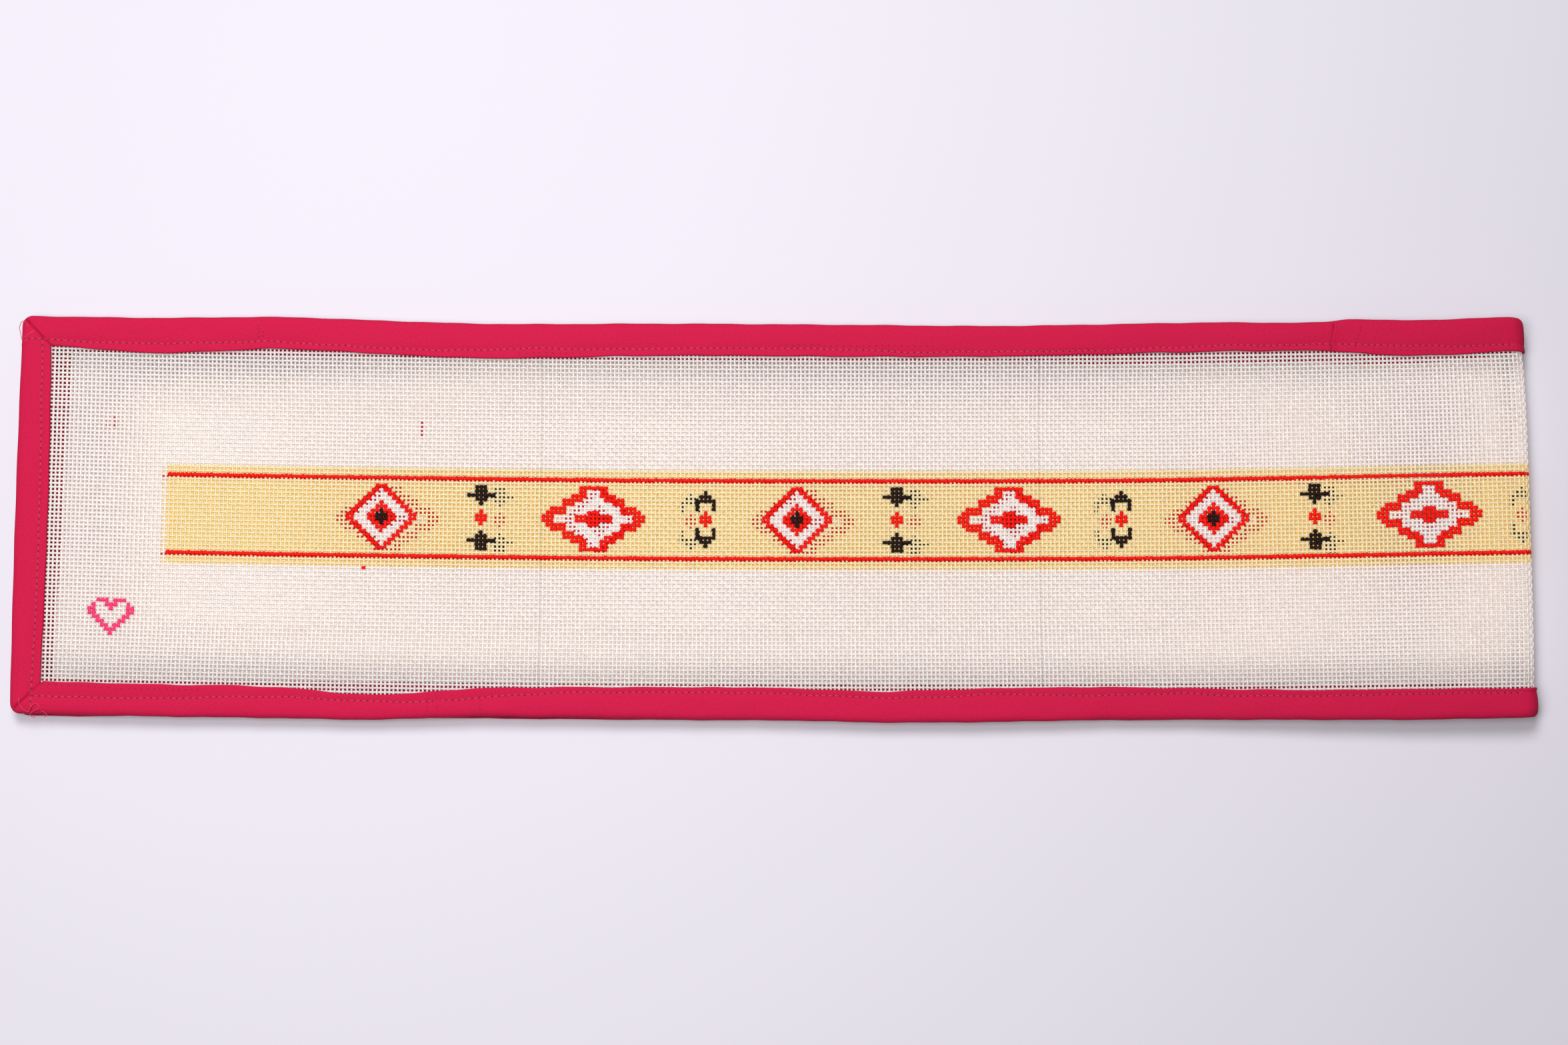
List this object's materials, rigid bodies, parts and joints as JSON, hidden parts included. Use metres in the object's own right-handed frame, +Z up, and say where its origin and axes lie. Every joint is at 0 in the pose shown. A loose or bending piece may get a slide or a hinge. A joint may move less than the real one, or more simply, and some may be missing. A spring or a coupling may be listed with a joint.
{
  "type": "needlepoint canvas panel",
  "caption": "Long mono canvas for a needlepoint belt, painted with a geometric band, bound all round with cotton tape and folded in half.",
  "frame": {"origin": "on the surface that the panel rests on, under the middle of its box", "axes": "+X along the panel to the fold, +Y across it to the far long edge, +Z up"},
  "size_m": [0.5135, 0.1383, 0.0114],
  "materials": {
    "canvas": "stiff white cotton mono canvas, 18 threads to the inch, with a hand-painted band",
    "tape": "matt raspberry cotton bias tape, top-stitched in matching thread"
  },
  "bodies": {
    "root": {"canvas": "canvas", "far_tape_left": "tape", "far_tape_right": "tape", "near_tape_left": "tape", "near_tape_right": "tape", "end_tape_upper": "tape", "end_tape_lower": "tape"}
  },
  "joints": []
}
